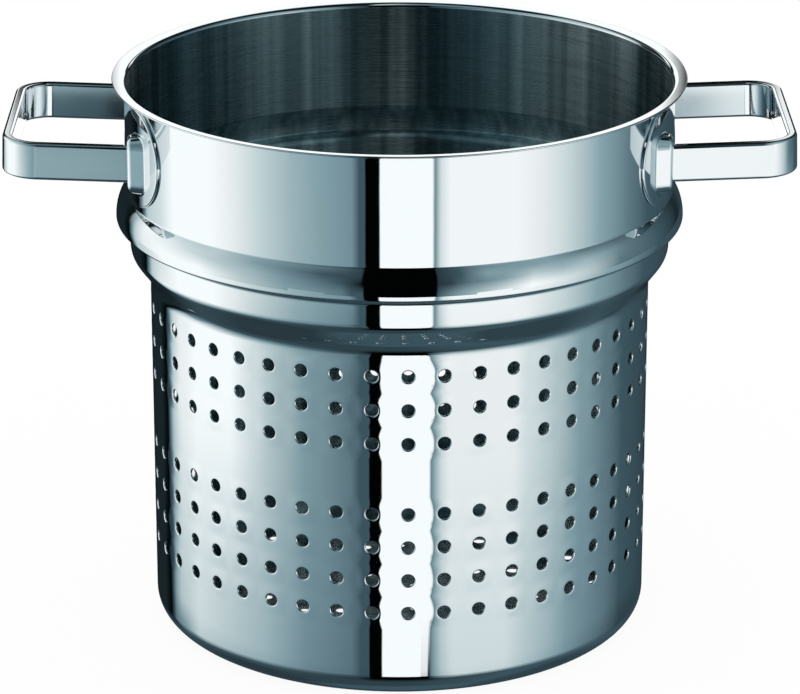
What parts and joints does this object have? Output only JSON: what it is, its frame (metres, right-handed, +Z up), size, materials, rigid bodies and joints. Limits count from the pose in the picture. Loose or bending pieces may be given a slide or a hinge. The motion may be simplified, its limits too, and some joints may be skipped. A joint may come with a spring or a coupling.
{
  "type": "pasta pot strainer insert",
  "caption": "Deep perforated steel strainer insert that hangs in a pasta pot by a skirt under its collar, with a flat strap handle on each side.",
  "frame": {"origin": "centre of the basket's underside, where it stands on a table", "axes": "+Z up along the basket's axis; X runs through the two handles; -Y is the side that the picture shows"},
  "size_m": [0.3416, 0.2502, 0.2487],
  "materials": {
    "drawn_steel": "mirror polished outside, satin brushed inside",
    "handle_steel": "fine satin to polished",
    "plate_steel": "mirror polished"
  },
  "bodies": {
    "root": {"basket": "drawn_steel", "handle_strap_left": "handle_steel", "handle_strap_right": "handle_steel", "weld_plate_left_front": "plate_steel", "weld_plate_left_back": "plate_steel", "weld_plate_right_front": "plate_steel", "weld_plate_right_back": "plate_steel", "strap_pad_left_front": "plate_steel", "strap_pad_left_back": "plate_steel", "strap_pad_right_front": "plate_steel", "strap_pad_right_back": "plate_steel"}
  },
  "joints": []
}
